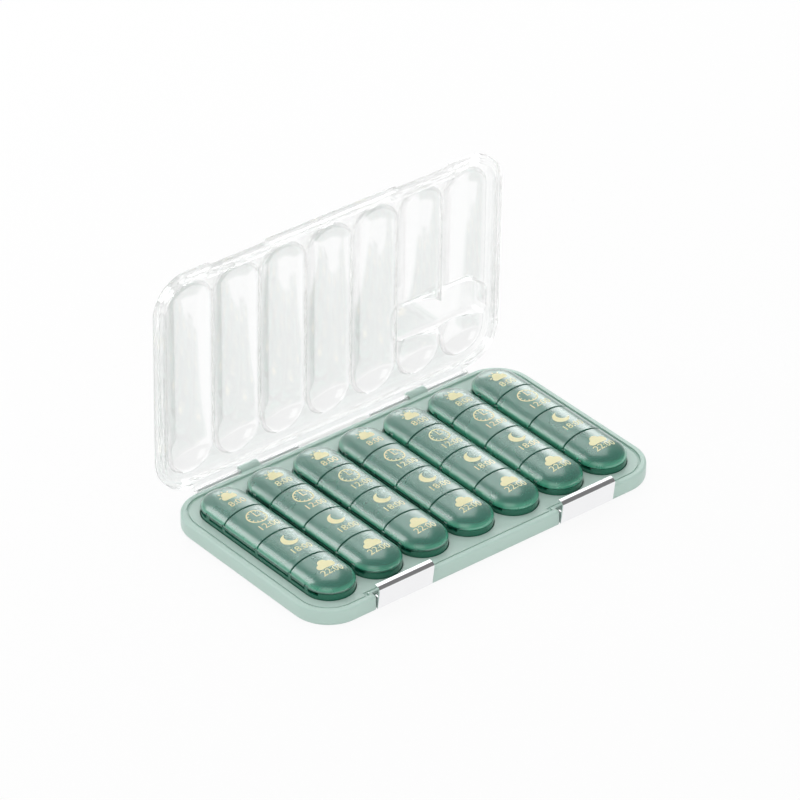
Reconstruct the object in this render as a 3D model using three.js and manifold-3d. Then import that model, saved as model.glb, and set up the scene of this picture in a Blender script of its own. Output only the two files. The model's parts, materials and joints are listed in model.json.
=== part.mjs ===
// Weekly pill box: a pale tray with a hinged clear cover, two chrome latches and seven lift-out
// day boxes of four cells, each cell with its own domed lid.
// Millimetres, +Z up. The origin is the middle of the tray's underside, +X runs along the tray
// and +Y runs from the latches to the hinge. The cover stands open and the lids are shut.

import * as THREE from "three";
import { mergeVertices } from "three/addons/utils/BufferGeometryUtils.js";
import Module from "manifold-3d";

const wasm = await Module();
wasm.setup();

// Running gaps
const SEAT_GAP = 0.3; // between two pieces that rest on each other
const OVERRUN = 1; // how far a cut runs past the face it opens

// Day boxes
const DAY_COUNT = 7;
const BOX_SPACING = 2.8; // between neighbouring boxes
const BOX_WIDTH = 27.2;
const BOX_LENGTH = 109.2;
const BOX_HEIGHT = 10.1; // of the box without its lids
const BOX_WALL = 1.2;
const BOX_FLOOR = 1.2;
const BOX_FOOT_SLOPE = 1.2;
const SCOOP_RISE = 4.6; // how far the rounded cell floor climbs at its sides
const DIVIDER_WALL = 1.2;
const CELL_NAMES = ["morning", "noon", "evening", "night"]; // from the hinge side
const END_CELL_EXTRA = 1.4; // the rounded end cells are longer by this

// Lids
const LID_RISE = 6.7;
const LID_WALL = 1.2;
const LID_SPLIT = 0.7; // between neighbouring lids
const BARREL_RADIUS = 1.2;
const BARREL_SET_IN = 1.3; // from the box's side to the barrel's axis
const STUB_RADIUS = 0.5;
const STUB_LENGTH = 0.9;
const LUG_RADIUS = 1.3;
const LUG_WIDTH = 2.4;
const LUG_REACH = 1.4; // of the hinge ledge, inwards from the barrel's axis
const TAB_LENGTH = 9;
const TAB_REACH = 0.4;
const TAB_HEIGHT = 0.9;

// Tray
const TRAY_END_MARGIN = 9.4; // from the outermost boxes to the tray's ends
const TRAY_SIDE_MARGIN = 9.4; // from the boxes' ends to the tray's front and rear
const TRAY_CORNER_RADIUS = 21;
const TRAY_HEIGHT = 9.2;
const TRAY_FLOOR = 1.6;
const TRAY_TOP_ROUND = 1.3;
const TRAY_FOOT_ROUND = 2.2;
const RIM_WIDTH = 3;
const DECK_DROP = 0.6; // from the rim down to the deck
const GROOVE_WIDTH = 1.5; // of the groove just inside the rim
const GROOVE_DEPTH = 0.7; // under the deck
const DECK_THICKNESS = 1.8;
const POCKET_CLEARANCE = 0.4;
const POCKET_WALL = 1.4;
const FOOT_WIDTH = 3.6; // from the tray's outline in to the hollow underside

// Cover
const SKIRT_HEIGHT = 3.9;
const SKIRT_WALL = 2;
const COVER_WALL = 1.3;
const COVER_TOP_ROUND = 1.2;
const DOME_HEADROOM = 1.4; // over the lids
const DOME_END_ROOM = 1.6; // past the boxes' ends
const DOME_SIDE_WALL = 1.1;
const RIDGE_WIDTH = 1; // of the web between two domes, seen from inside
const LIP_CLEARANCE = 0.3;
const LIP_WALL = 1.2;

// Badge plateau over the last two domes
const BADGE_LENGTH = 55.6;
const BADGE_DEPTH = 21;
const BADGE_RADIUS = 6;
const BADGE_ROUND = 1.2; // of its edge, seen from inside
const BADGE_RISE = 1.8; // over the domes
const BADGE_OFF_CENTRE = 3.3; // sideways from the web between its two domes
const BADGE_BACK = 28.2; // from the cover's middle towards the hinge

// Cover hinge
const HINGE_RADIUS = 2;
const HINGE_GAP = 0.4; // from the tray's rear wall to the knuckles
const HINGE_DROP = 1.2; // of the axis under the tray's top
const HINGE_HEIGHT = TRAY_HEIGHT - HINGE_DROP;
const HINGE_END_MARGIN = 23; // from the tray's ends in to the hinge
const END_KNUCKLE = 28;
const TRAY_KNUCKLE = 12;
const KNUCKLE_GAP = 0.4;
const KNUCKLE_ARM = 1.5; // how far an arm is rooted in its wall
const LEAF_RISE = 4; // of the cover's hinge leaf over the axis
const LEAF_ROUND = 1.4;
const HEEL_REACH = 2.8; // of the stop that holds the cover upright
const HINGE_PIN_RADIUS = 0.8;
const HINGE_PIN_LENGTH = 66;
const PIN_CLEARANCE = 0.3;
const COVER_OPENING_DEG = 90;

// Latches
const LATCH_END_MARGIN = 52.8; // from the tray's ends in to the latches' middles
const LATCH_WIDTH = 35.3;
const LATCH_SIDE_GAP = 0.5;
const LATCH_SHEET = 0.9;
const LATCH_PROUD = 1; // past the tray's front
const LATCH_PIVOT_INSET = 1.8; // behind the tray's front
const LATCH_PIVOT_HEIGHT = 3.8;
const LATCH_FOOT = 1.7; // of the plate's lower edge under the pivot
const LATCH_BEND = 2.4;
const HOOK_REACH = 4;
const HOOK_DROP = 0.7;
const HOOK_NOSE = 0.9;
const EAR_RADIUS = 1.6;
const EAR_RISE = 5.2; // of the ears' top over the pivot
const LATCH_PIN_RADIUS = 0.7;
const LATCH_PIN_GRIP = 2.5; // of each pin end in the tray
const NOTCH_CLEARANCE = 0.4;
const NOTCH_RIM = 1.6;
const NOTCH_BLOCK = 4; // of solid tray beside each notch
const COVER_NOTCH_DEPTH = 2.2;
const LATCH_REST_DEG = 7; // leaning out from the latched place, clear of the cover's path

// Facets
const END_STEPS = 8; // round each half-round end
const INNER_END_STEPS = 6; // the same on inner faces
const CORNER_STEPS = 6; // round each corner of the tray
const DOME_STEPS = 4; // up each dome
const INNER_DOME_STEPS = 3;
const SCOOP_STEPS = 2;
const ROUND_STEPS = 2; // round each small edge
const PIN_STEPS = 8;
const BARREL_STEPS = 8;
const KNUCKLE_STEPS = 12;

// Heights that the pieces share
const BOX_FOOT = TRAY_FLOOR + SEAT_GAP;
const BOX_TOP = BOX_FOOT + BOX_HEIGHT;
const LID_FOOT = BOX_TOP + SEAT_GAP;
const LID_CROWN = LID_FOOT + LID_RISE;
const DECK = TRAY_HEIGHT - DECK_DROP;
const COVER_FOOT = TRAY_HEIGHT + SEAT_GAP;
const SHOULDER = COVER_FOOT + SKIRT_HEIGHT;
const WEB = SHOULDER - COVER_WALL;
const DOME_CROWN = LID_CROWN + DOME_HEADROOM;

// Plan sizes that the pieces share
const DAY_PITCH = BOX_WIDTH + BOX_SPACING; // between the boxes' centre lines
const BOX_HALF_WIDTH = BOX_WIDTH / 2;
const BOX_HALF_LENGTH = BOX_LENGTH / 2;
const STRAIGHT_HALF = BOX_HALF_LENGTH - BOX_HALF_WIDTH;
const TRAY_HALF_LENGTH = (DAY_PITCH * (DAY_COUNT - 1)) / 2 + BOX_HALF_WIDTH + TRAY_END_MARGIN;
const TRAY_HALF_DEPTH = BOX_HALF_LENGTH + TRAY_SIDE_MARGIN;
const DAY_CENTRES = Array.from(
  { length: DAY_COUNT },
  (_, day) => (day - (DAY_COUNT - 1) / 2) * DAY_PITCH,
);
const CELL_PITCH = (BOX_LENGTH - 2 * END_CELL_EXTRA) / CELL_NAMES.length;
const BOUNDARIES = Array.from(
  { length: CELL_NAMES.length - 1 },
  (_, cell) => (CELL_NAMES.length / 2 - 1 - cell) * CELL_PITCH,
);
const DOME_HALF_WIDTH = (DAY_PITCH - RIDGE_WIDTH) / 2;
const DOME_HALF_LENGTH = BOX_HALF_LENGTH + DOME_END_ROOM;
const BARREL_X = BARREL_SET_IN - BOX_HALF_WIDTH;
const LEDGE = BOX_TOP - BARREL_RADIUS - SEAT_GAP;
const HINGE_Y = TRAY_HALF_DEPTH + HINGE_RADIUS + HINGE_GAP;
const HINGE_LENGTH = 2 * (TRAY_HALF_LENGTH - HINGE_END_MARGIN);
const LATCH_PIVOT_Y = LATCH_PIVOT_INSET - TRAY_HALF_DEPTH;
const NOTCH_HALF_WIDTH = LATCH_WIDTH / 2 + LATCH_SIDE_GAP;
const NOTCH_BACK = LATCH_PIVOT_Y + EAR_RADIUS + NOTCH_CLEARANCE;
const COVER_NOTCH_BACK = COVER_NOTCH_DEPTH - TRAY_HALF_DEPTH;
const LATCH_CENTRES = [LATCH_END_MARGIN - TRAY_HALF_LENGTH, TRAY_HALF_LENGTH - LATCH_END_MARGIN];

// Helpers: solids, booleans and lofts

function solidOf(geometry) {
  const plain = geometry.clone();
  plain.deleteAttribute("normal");
  plain.deleteAttribute("uv");
  const merged = mergeVertices(plain);
  return new wasm.Manifold(
    new wasm.Mesh({
      numProp: 3,
      vertProperties: merged.attributes.position.array,
      triVerts: new Uint32Array(merged.index.array),
    }),
  );
}

function geometryOf(solid) {
  const mesh = solid.getMesh();
  const geometry = new THREE.BufferGeometry();
  geometry.setAttribute("position", new THREE.BufferAttribute(mesh.vertProperties, 3));
  geometry.setIndex(new THREE.BufferAttribute(mesh.triVerts, 1));
  geometry.computeVertexNormals();
  return geometry;
}

const join = (solids) => solids.reduce((all, one) => all.add(one));
const cut = (solid, tools) => tools.reduce((left, tool) => left.subtract(tool), solid);

function arc(centreX, centreY, radius, from, to, steps) {
  return Array.from({ length: steps + 1 }, (_, step) => {
    const angle = from + ((to - from) * step) / steps;
    return [centreX + radius * Math.cos(angle), centreY + radius * Math.sin(angle)];
  });
}

// Outlines, counter-clockwise, each drawn in by an inset
const stadium = (halfWidth, halfLength, steps = END_STEPS) => (inset) => {
  const radius = halfWidth - inset;
  const centre = halfLength - halfWidth;
  return [
    ...arc(0, centre, radius, 0, Math.PI, steps),
    ...arc(0, -centre, radius, Math.PI, 2 * Math.PI, steps),
  ];
};

const roundedRectangle = (halfX, halfY, corner) => (inset) => {
  const radius = corner - inset;
  const [x, y] = [halfX - corner, halfY - corner];
  const signs = [[1, 1], [-1, 1], [-1, -1], [1, -1]];
  return signs.flatMap(([sx, sy], quarter) =>
    arc(sx * x, sy * y, radius, (quarter * Math.PI) / 2, ((quarter + 1) * Math.PI) / 2, CORNER_STEPS),
  );
};

// One closed body through the outline at each [inset, height], from the lowest up
function loft(outline, levels) {
  const rings = levels.map(([inset, height]) => outline(inset).map(([x, y]) => [x, y, height]));
  const size = rings[0].length;
  const faces = [];
  for (let ring = 0; ring + 1 < rings.length; ring++) {
    for (let i = 0; i < size; i++) {
      const j = (i + 1) % size;
      const [a, b, c, d] = [ring * size + i, ring * size + j, (ring + 1) * size + j, (ring + 1) * size + i];
      faces.push(a, b, c, a, c, d);
    }
  }
  const last = (rings.length - 1) * size;
  for (let i = 1; i + 1 < size; i++) {
    faces.push(0, i + 1, i, last, last + i, last + i + 1);
  }
  const geometry = new THREE.BufferGeometry();
  geometry.setAttribute("position", new THREE.Float32BufferAttribute(rings.flat(2), 3));
  geometry.setIndex(faces);
  return solidOf(geometry);
}

// Levels of an elliptical dome of a half width, from its foot to its crown
function domeLevels(halfWidth, foot, rise, steps) {
  const last = (Math.PI / 2) * (steps / (steps + 0.5));
  return Array.from({ length: steps + 1 }, (_, step) => {
    const angle = (last * step) / steps;
    return [halfWidth * (1 - Math.cos(angle)), foot + (rise * Math.sin(angle)) / Math.sin(last)];
  });
}

// Levels of a plate with rounded foot and top edges
function plateLevels(foot, top, footRound, topRound) {
  const turn = (step) => ((Math.PI / 2) * step) / ROUND_STEPS;
  const steps = Array.from({ length: ROUND_STEPS + 1 }, (_, step) => step);
  return [
    ...steps.map((s) => [footRound * (1 - Math.sin(turn(s))), foot + footRound * (1 - Math.cos(turn(s)))]),
    ...steps.map((s) => [topRound * (1 - Math.cos(turn(s))), top - topRound * (1 - Math.sin(turn(s)))]),
  ];
}

const straightLevels = (foot, top) => [[0, foot], [0, top]];

function block(x0, x1, y0, y1, z0, z1) {
  const box = new THREE.BoxGeometry(x1 - x0, y1 - y0, z1 - z0);
  return solidOf(box.translate((x0 + x1) / 2, (y0 + y1) / 2, (z0 + z1) / 2));
}

function rodAlongX(radius, x0, x1, y, z, steps) {
  const rod = new THREE.CylinderGeometry(radius, radius, x1 - x0, steps);
  return solidOf(rod.rotateZ(Math.PI / 2).translate((x0 + x1) / 2, y, z));
}

function rodAlongY(radius, y0, y1, x, z, steps) {
  const rod = new THREE.CylinderGeometry(radius, radius, y1 - y0, steps);
  return solidOf(rod.translate(x, (y0 + y1) / 2, z));
}

// A section drawn in Y and Z, pushed along X
function extrudeAlongX(section, x0, x1, steps) {
  const bar = new THREE.ExtrudeGeometry(section, {
    depth: x1 - x0,
    bevelEnabled: false,
    curveSegments: steps,
  });
  const turn = new THREE.Matrix4().makeBasis(
    new THREE.Vector3(0, 1, 0),
    new THREE.Vector3(0, 0, 1),
    new THREE.Vector3(1, 0, 0),
  );
  return solidOf(bar.applyMatrix4(turn).translate(x0, 0, 0));
}

// Day box, drawn with its centre line at X 0

const LUG_CENTRES = [STRAIGHT_HALF - LUG_WIDTH / 2, ...BOUNDARIES, LUG_WIDTH / 2 - STRAIGHT_HALF];

function dayBox() {
  const outline = stadium(BOX_HALF_WIDTH, BOX_HALF_LENGTH);
  const shell = loft(outline, [
    [BOX_FOOT_SLOPE, BOX_FOOT],
    [0, BOX_FOOT + BOX_FOOT_SLOPE],
    [0, BOX_TOP],
  ]);
  const cavityWidth = BOX_HALF_WIDTH - BOX_WALL;
  const cavityFloor = BOX_FOOT + BOX_FLOOR;
  const scoop = domeLevels(cavityWidth, 0, SCOOP_RISE, SCOOP_STEPS)
    .map(([inset, climb]) => [inset, cavityFloor + SCOOP_RISE - climb])
    .reverse();
  const cavity = loft(stadium(cavityWidth, BOX_HALF_LENGTH - BOX_WALL, INNER_END_STEPS), [
    ...scoop,
    [0, BOX_TOP + OVERRUN],
  ]);
  const dividers = BOUNDARIES.map((y) =>
    block(-BOX_WIDTH, BOX_WIDTH, y - DIVIDER_WALL / 2, y + DIVIDER_WALL / 2, 0, BOX_TOP + 2 * OVERRUN),
  );
  // The side wall drops to a ledge under the lids' barrels, as far as the lids turn down over it.
  const ledgeInner = BARREL_X + LUG_REACH;
  const ledgeReach = STRAIGHT_HALF + Math.sqrt(BOX_HALF_WIDTH ** 2 - BARREL_X ** 2) + POCKET_CLEARANCE;
  const ledge = block(-BOX_WIDTH, ledgeInner, -ledgeReach, ledgeReach, LEDGE, BOX_TOP + OVERRUN);
  const lugs = LUG_CENTRES.flatMap((y) => [
    rodAlongY(LUG_RADIUS, y - LUG_WIDTH / 2, y + LUG_WIDTH / 2, BARREL_X, BOX_TOP, BARREL_STEPS),
    block(
      BARREL_X - BARREL_RADIUS,
      ledgeInner,
      y - LUG_WIDTH / 2,
      y + LUG_WIDTH / 2,
      LEDGE - BOX_WALL / 2,
      BOX_TOP,
    ),
  ]);
  const bore = rodAlongY(
    STUB_RADIUS + PIN_CLEARANCE,
    -BOX_HALF_LENGTH,
    BOX_HALF_LENGTH,
    BARREL_X,
    BOX_TOP,
    PIN_STEPS,
  );
  const hollow = cut(shell, [cut(cavity, dividers), ledge]);
  return cut(join([hollow, ...lugs]), [bore]);
}

// The four lids of one day box, from the hinge side of the tray to the latch side
function lids() {
  const outer = loft(
    stadium(BOX_HALF_WIDTH, BOX_HALF_LENGTH),
    domeLevels(BOX_HALF_WIDTH, LID_FOOT, LID_RISE, DOME_STEPS),
  );
  const innerWidth = BOX_HALF_WIDTH - LID_WALL;
  const [, ...innerDome] = domeLevels(innerWidth, LID_FOOT, LID_RISE - LID_WALL, INNER_DOME_STEPS);
  const inner = loft(stadium(innerWidth, BOX_HALF_LENGTH - LID_WALL, INNER_END_STEPS), [
    [0, LID_FOOT - OVERRUN],
    [0, LID_FOOT],
    ...innerDome,
  ]);
  const edges = [BOX_LENGTH, ...BOUNDARIES, -BOX_LENGTH];
  const lugTop = BOX_TOP + LUG_RADIUS + SEAT_GAP;
  const lugHalf = LUG_WIDTH / 2 + SEAT_GAP;
  const reliefs = LUG_CENTRES.map((y) =>
    block(-BOX_WIDTH, BARREL_X + LUG_REACH + SEAT_GAP, y - lugHalf, y + lugHalf, LEDGE, lugTop),
  );
  return CELL_NAMES.map((_, cell) => {
    const [rear, front] = [edges[cell] - LID_SPLIT / 2, edges[cell + 1] + LID_SPLIT / 2];
    const slab = block(-BOX_WIDTH, BOX_WIDTH, front, rear, 0, DOME_CROWN);
    const room = block(-BOX_WIDTH, BOX_WIDTH, front + LID_WALL, rear - LID_WALL, 0, DOME_CROWN);
    const shell = cut(outer.intersect(slab), [inner.intersect(room)]);
    const [barrelRear, barrelFront] = [LUG_CENTRES[cell] - lugHalf, LUG_CENTRES[cell + 1] + lugHalf];
    const barrel = rodAlongY(BARREL_RADIUS, barrelFront, barrelRear, BARREL_X, BOX_TOP, BARREL_STEPS);
    const stub = rodAlongY(
      STUB_RADIUS,
      barrelFront - STUB_LENGTH,
      barrelRear + STUB_LENGTH,
      BARREL_X,
      BOX_TOP,
      PIN_STEPS,
    );
    const middle = (barrelRear + barrelFront) / 2;
    const tab = block(
      BOX_HALF_WIDTH - LID_WALL,
      BOX_HALF_WIDTH + TAB_REACH,
      middle - TAB_LENGTH / 2,
      middle + TAB_LENGTH / 2,
      LID_FOOT,
      LID_FOOT + TAB_HEIGHT,
    );
    return join([cut(join([shell, tab]), reliefs), barrel, stub]);
  });
}

// Tray

function latchNotches(halfWidth, back, foot, top) {
  return LATCH_CENTRES.map((x) =>
    block(x - halfWidth, x + halfWidth, -TRAY_HALF_DEPTH - OVERRUN, back, foot, top),
  );
}

function trayKnuckle(x0, x1) {
  const rod = rodAlongX(HINGE_RADIUS, x0, x1, HINGE_Y, HINGE_HEIGHT, KNUCKLE_STEPS);
  const arm = block(
    x0,
    x1,
    TRAY_HALF_DEPTH - KNUCKLE_ARM,
    HINGE_Y,
    HINGE_HEIGHT - HINGE_RADIUS,
    TRAY_HEIGHT - DECK_DROP,
  );
  // The heel meets the cover's rear wall when the cover stands open.
  const heelTop = HINGE_HEIGHT + HINGE_RADIUS + HINGE_GAP - SEAT_GAP;
  const heel = block(x0, x1, HINGE_Y, HINGE_Y + HEEL_REACH, HINGE_HEIGHT - HINGE_RADIUS / 2, heelTop);
  return join([rod, arm, heel]);
}

const TRAY_KNUCKLES = [-1, 1].map((side) => {
  const outer = HINGE_LENGTH / 2 - END_KNUCKLE;
  const inner = outer - TRAY_KNUCKLE;
  return side < 0 ? [-outer, -inner] : [inner, outer];
});

const hingeBore = () =>
  rodAlongX(
    HINGE_PIN_RADIUS + PIN_CLEARANCE,
    -HINGE_LENGTH,
    HINGE_LENGTH,
    HINGE_Y,
    HINGE_HEIGHT,
    PIN_STEPS,
  );

function tray() {
  const outline = roundedRectangle(TRAY_HALF_LENGTH, TRAY_HALF_DEPTH, TRAY_CORNER_RADIUS);
  const body = loft(outline, plateLevels(0, TRAY_HEIGHT, TRAY_FOOT_ROUND, TRAY_TOP_ROUND));
  const inward = (inset) => (more) => outline(inset + more);
  const withinRim = (inset, foot, top) =>
    cut(
      loft(inward(RIM_WIDTH + inset), straightLevels(foot, top)),
      latchNotches(NOTCH_HALF_WIDTH + NOTCH_RIM + inset, NOTCH_BACK + NOTCH_RIM + inset, 0, top + OVERRUN),
    );
  const deckCut = withinRim(0, DECK, TRAY_HEIGHT + OVERRUN);
  const groove = cut(withinRim(0, DECK - GROOVE_DEPTH, DECK + OVERRUN), [
    withinRim(GROOVE_WIDTH, DECK - 2 * GROOVE_DEPTH, TRAY_HEIGHT),
  ]);
  const pocketHalf = BOX_HALF_WIDTH + POCKET_CLEARANCE;
  const pocketEnd = BOX_HALF_LENGTH + POCKET_CLEARANCE;
  const pocket = loft(stadium(pocketHalf, pocketEnd), straightLevels(TRAY_FLOOR, TRAY_HEIGHT + OVERRUN));
  const wall = loft(
    stadium(pocketHalf + POCKET_WALL, pocketEnd + POCKET_WALL),
    straightLevels(-2 * OVERRUN, TRAY_HEIGHT),
  );
  const across = (solid) => DAY_CENTRES.map((x) => solid.translate([x, 0, 0]));
  const underside = cut(loft(inward(FOOT_WIDTH), straightLevels(-OVERRUN, DECK - DECK_THICKNESS)), [
    ...across(wall),
    ...latchNotches(NOTCH_HALF_WIDTH + NOTCH_BLOCK, NOTCH_BACK + NOTCH_RIM, -2 * OVERRUN, TRAY_HEIGHT),
  ]);
  const pinHalf = NOTCH_HALF_WIDTH + LATCH_PIN_GRIP + SEAT_GAP;
  const pinBores = LATCH_CENTRES.map((x) =>
    rodAlongX(
      LATCH_PIN_RADIUS + PIN_CLEARANCE,
      x - pinHalf,
      x + pinHalf,
      LATCH_PIVOT_Y,
      LATCH_PIVOT_HEIGHT,
      PIN_STEPS,
    ),
  );
  const notches = latchNotches(NOTCH_HALF_WIDTH, NOTCH_BACK, -OVERRUN, TRAY_HEIGHT + OVERRUN);
  const knuckles = TRAY_KNUCKLES.map(([x0, x1]) => trayKnuckle(x0, x1));
  return cut(join([cut(body, [underside]), ...knuckles]), [
    deckCut,
    groove,
    ...across(pocket),
    ...notches,
    ...pinBores,
    hingeBore(),
  ]);
}

// Cover, drawn shut

function hingeLeaf() {
  const foot = COVER_FOOT - HINGE_HEIGHT;
  const root = HINGE_RADIUS + HINGE_GAP + KNUCKLE_ARM;
  const meet = Math.PI - Math.asin(foot / HINGE_RADIUS);
  const section = new THREE.Shape();
  section.moveTo(-root, foot);
  section.lineTo(HINGE_RADIUS * Math.cos(meet), foot);
  section.absarc(0, 0, HINGE_RADIUS, meet, 2 * Math.PI, false);
  section.lineTo(HINGE_RADIUS, LEAF_RISE - LEAF_ROUND);
  section.absarc(HINGE_RADIUS - LEAF_ROUND, LEAF_RISE - LEAF_ROUND, LEAF_ROUND, 0, Math.PI / 2, false);
  section.lineTo(-root, LEAF_RISE);
  section.closePath();
  const bar = extrudeAlongX(section, -HINGE_LENGTH / 2, HINGE_LENGTH / 2, KNUCKLE_STEPS);
  const gaps = TRAY_KNUCKLES.map(([x0, x1]) =>
    block(
      x0 - KNUCKLE_GAP,
      x1 + KNUCKLE_GAP,
      -HINGE_RADIUS - HINGE_GAP,
      LEAF_RISE,
      -LEAF_RISE,
      LEAF_RISE + OVERRUN,
    ),
  );
  return cut(bar, gaps).translate([0, HINGE_Y, HINGE_HEIGHT]);
}

function badge(grow, foot, top, round) {
  const outline = roundedRectangle(
    BADGE_LENGTH / 2 + grow,
    BADGE_DEPTH / 2 + grow,
    BADGE_RADIUS + grow,
  );
  const x = (DAY_CENTRES.at(-1) + DAY_CENTRES.at(-2)) / 2 + BADGE_OFF_CENTRE;
  return loft(outline, plateLevels(foot, top, 0, round).slice(ROUND_STEPS)).translate([x, BADGE_BACK, 0]);
}

function cover() {
  const outline = roundedRectangle(TRAY_HALF_LENGTH, TRAY_HALF_DEPTH, TRAY_CORNER_RADIUS);
  const inward = (inset) => (more) => outline(inset + more);
  const plate = loft(outline, plateLevels(COVER_FOOT, SHOULDER, 0, COVER_TOP_ROUND).slice(ROUND_STEPS));
  const notchTop = SHOULDER + OVERRUN;
  const roomUnder = cut(
    loft(inward(SKIRT_WALL), straightLevels(COVER_FOOT - OVERRUN, WEB)),
    latchNotches(NOTCH_HALF_WIDTH + SKIRT_WALL, COVER_NOTCH_BACK + SKIRT_WALL, 0, notchTop),
  );
  const lipOut = RIM_WIDTH + LIP_CLEARANCE;
  const lipFoot = DECK + SEAT_GAP;
  const lipRing = (inset, grow, foot, top) =>
    cut(
      loft(inward(inset), straightLevels(foot, top)),
      latchNotches(
        NOTCH_HALF_WIDTH + NOTCH_RIM + LIP_CLEARANCE + grow,
        NOTCH_BACK + NOTCH_RIM + LIP_CLEARANCE + grow,
        0,
        notchTop,
      ),
    );
  const lip = cut(lipRing(lipOut, 0, lipFoot, WEB + COVER_WALL / 2), [
    lipRing(lipOut + LIP_WALL, LIP_WALL, lipFoot - OVERRUN, WEB + COVER_WALL),
  ]);
  const outerWidth = DOME_HALF_WIDTH + DOME_SIDE_WALL;
  const outerDome = loft(
    stadium(outerWidth, DOME_HALF_LENGTH + DOME_SIDE_WALL),
    domeLevels(outerWidth, WEB, DOME_CROWN + COVER_WALL - WEB, DOME_STEPS),
  );
  const [, ...innerRise] = domeLevels(DOME_HALF_WIDTH, WEB, DOME_CROWN - WEB, INNER_DOME_STEPS);
  const innerDome = loft(stadium(DOME_HALF_WIDTH, DOME_HALF_LENGTH, INNER_END_STEPS), [
    [0, WEB - OVERRUN],
    [0, WEB],
    ...innerRise,
  ]);
  const across = (solid) => DAY_CENTRES.map((x) => solid.translate([x, 0, 0]));
  const badgeTop = DOME_CROWN + BADGE_RISE;
  const plateau = badge(COVER_WALL, WEB, badgeTop + COVER_WALL, BADGE_ROUND + COVER_WALL);
  const solid = join([plate, ...across(outerDome), plateau]);
  const shell = cut(solid, [
    roomUnder,
    ...across(innerDome),
    badge(0, WEB - OVERRUN, badgeTop, BADGE_ROUND),
  ]);
  const notches = latchNotches(NOTCH_HALF_WIDTH, COVER_NOTCH_BACK, 0, notchTop);
  return cut(join([shell, lip, hingeLeaf()]), [...notches, hingeBore()]);
}

// Latch, drawn latched with its pivot at the origin

function latch() {
  const half = LATCH_WIDTH / 2;
  const front = -LATCH_PIVOT_INSET - LATCH_PROUD;
  const top = SHOULDER + SEAT_GAP + HOOK_DROP + LATCH_SHEET - LATCH_PIVOT_HEIGHT;
  const tip = front + HOOK_REACH;
  const inside = LATCH_BEND - LATCH_SHEET;
  const sheet = new THREE.Shape();
  sheet.moveTo(front, -LATCH_FOOT);
  sheet.lineTo(front + LATCH_SHEET, -LATCH_FOOT);
  sheet.lineTo(front + LATCH_SHEET, top - LATCH_BEND);
  sheet.absarc(front + LATCH_BEND, top - LATCH_BEND, inside, Math.PI, Math.PI / 2, true);
  sheet.lineTo(tip - HOOK_NOSE, top - LATCH_SHEET);
  sheet.lineTo(tip - HOOK_NOSE / 2, top - LATCH_SHEET - HOOK_DROP);
  sheet.lineTo(tip, top - LATCH_SHEET - HOOK_DROP);
  sheet.lineTo(tip, top);
  sheet.lineTo(front + LATCH_BEND, top);
  sheet.absarc(front + LATCH_BEND, top - LATCH_BEND, LATCH_BEND, Math.PI / 2, Math.PI, false);
  sheet.closePath();
  const ear = new THREE.Shape();
  ear.moveTo(front + LATCH_SHEET / 2, -EAR_RADIUS);
  ear.lineTo(0, -EAR_RADIUS);
  ear.absarc(0, 0, EAR_RADIUS, -Math.PI / 2, 0, false);
  ear.lineTo(EAR_RADIUS, EAR_RISE - EAR_RADIUS);
  ear.absarc(0, EAR_RISE - EAR_RADIUS, EAR_RADIUS, 0, Math.PI / 2, false);
  ear.lineTo(front + LATCH_SHEET / 2, EAR_RISE);
  ear.closePath();
  const bore = rodAlongX(LATCH_PIN_RADIUS + PIN_CLEARANCE, -LATCH_WIDTH, LATCH_WIDTH, 0, 0, PIN_STEPS);
  const folded = join([
    extrudeAlongX(sheet, -half, half, ROUND_STEPS + 2),
    extrudeAlongX(ear, -half, LATCH_SHEET - half, ROUND_STEPS + 2),
    extrudeAlongX(ear, half - LATCH_SHEET, half, ROUND_STEPS + 2),
  ]);
  return cut(folded, [bore]);
}

// Materials

const finish = (color, roughness, metalness, opacity = 1) =>
  new THREE.MeshStandardMaterial({ color, roughness, metalness, opacity, transparent: opacity < 1 });

const TRAY_PLASTIC = finish(0xb9dacd, 0.45, 0);
const CLEAR_PLASTIC = finish(0xf2f5f4, 0.15, 0, 0.35);
const BOX_PLASTIC = finish(0x1f9a70, 0.1, 0, 0.6);
const LID_PLASTIC = finish(0x3f8f78, 0.08, 0, 0.6);
const CHROME = finish(0xf0f0f2, 0.08, 1);
const STEEL = finish(0xb8bcc0, 0.3, 1);

function mesh(name, geometry, material) {
  const made = new THREE.Mesh(geometry, material);
  made.name = name;
  return made;
}

// Assembly

const pillBox = new THREE.Group();
pillBox.add(mesh("base_tray", geometryOf(tray()), TRAY_PLASTIC));

const boxGeometry = geometryOf(dayBox());
const lidGeometries = lids().map(geometryOf);
DAY_CENTRES.forEach((x, day) => {
  const group = new THREE.Group();
  group.position.x = x;
  group.add(mesh(`day_box_${day + 1}`, boxGeometry, BOX_PLASTIC));
  CELL_NAMES.forEach((name, cell) => {
    group.add(mesh(`day${day + 1}_lid_${name}`, lidGeometries[cell], LID_PLASTIC));
  });
  pillBox.add(group);
});

const coverHinge = new THREE.Group();
coverHinge.position.set(0, HINGE_Y, HINGE_HEIGHT);
coverHinge.rotation.x = -THREE.MathUtils.degToRad(COVER_OPENING_DEG);
const coverMesh = mesh("cover", geometryOf(cover()), CLEAR_PLASTIC);
coverMesh.position.set(0, -HINGE_Y, -HINGE_HEIGHT);
coverHinge.add(coverMesh);
pillBox.add(coverHinge);

const hingePin = new THREE.CylinderGeometry(
  HINGE_PIN_RADIUS,
  HINGE_PIN_RADIUS,
  HINGE_PIN_LENGTH,
  PIN_STEPS,
).rotateZ(Math.PI / 2);
const latchPin = new THREE.CylinderGeometry(
  LATCH_PIN_RADIUS,
  LATCH_PIN_RADIUS,
  2 * (NOTCH_HALF_WIDTH + LATCH_PIN_GRIP),
  PIN_STEPS,
).rotateZ(Math.PI / 2);
const latchGeometry = geometryOf(latch());

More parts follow.
